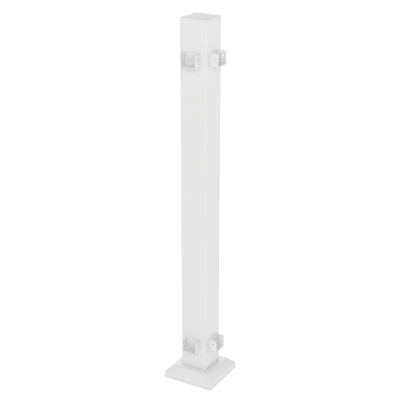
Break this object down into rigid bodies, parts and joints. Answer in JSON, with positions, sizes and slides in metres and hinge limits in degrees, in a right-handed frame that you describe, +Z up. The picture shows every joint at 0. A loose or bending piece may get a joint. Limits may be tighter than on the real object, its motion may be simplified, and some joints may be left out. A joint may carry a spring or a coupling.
{
  "type": "corner rail post",
  "caption": "Square corner post for a retail crowd-control rail, with open U-shaped rail brackets on two faces, a flush cap and a sliding cover over its floor plate.",
  "frame": {"origin": "on the floor, on the centre line of the square post", "axes": "+Z up along the post, -Y out of the face with the left brackets, +X out of the face with the right brackets"},
  "size_m": [0.1504, 0.1504, 1.016],
  "materials": {
    "white_coat": "satin",
    "white_cover": "satin",
    "mill_plate": "satin",
    "screw_steel": "satin"
  },
  "bodies": {
    "post": {"post_tube": "white_coat", "base_plate": "mill_plate", "plate_screw_1": "screw_steel", "plate_screw_2": "screw_steel", "plate_screw_3": "screw_steel", "plate_screw_4": "screw_steel", "post_cap": "white_coat", "rail_bracket_upper_left": "white_coat", "rail_bracket_upper_right": "white_coat", "rail_bracket_lower_left": "white_coat", "rail_bracket_lower_right": "white_coat", "bracket_screw_upper_left_1": "white_coat", "bracket_screw_upper_left_2": "white_coat", "bracket_screw_upper_right_1": "white_coat", "bracket_screw_upper_right_2": "white_coat", "bracket_screw_lower_left_1": "white_coat", "bracket_screw_lower_left_2": "white_coat", "bracket_screw_lower_right_1": "white_coat", "bracket_screw_lower_right_2": "white_coat"},
    "trim": {"base_trim": "white_cover"}
  },
  "joints": [
    {"name": "trim_slide", "type": "slide", "parent": "post", "child": "trim", "axis": [0, 0, 1], "range_m": [0, 0.055]}
  ]
}
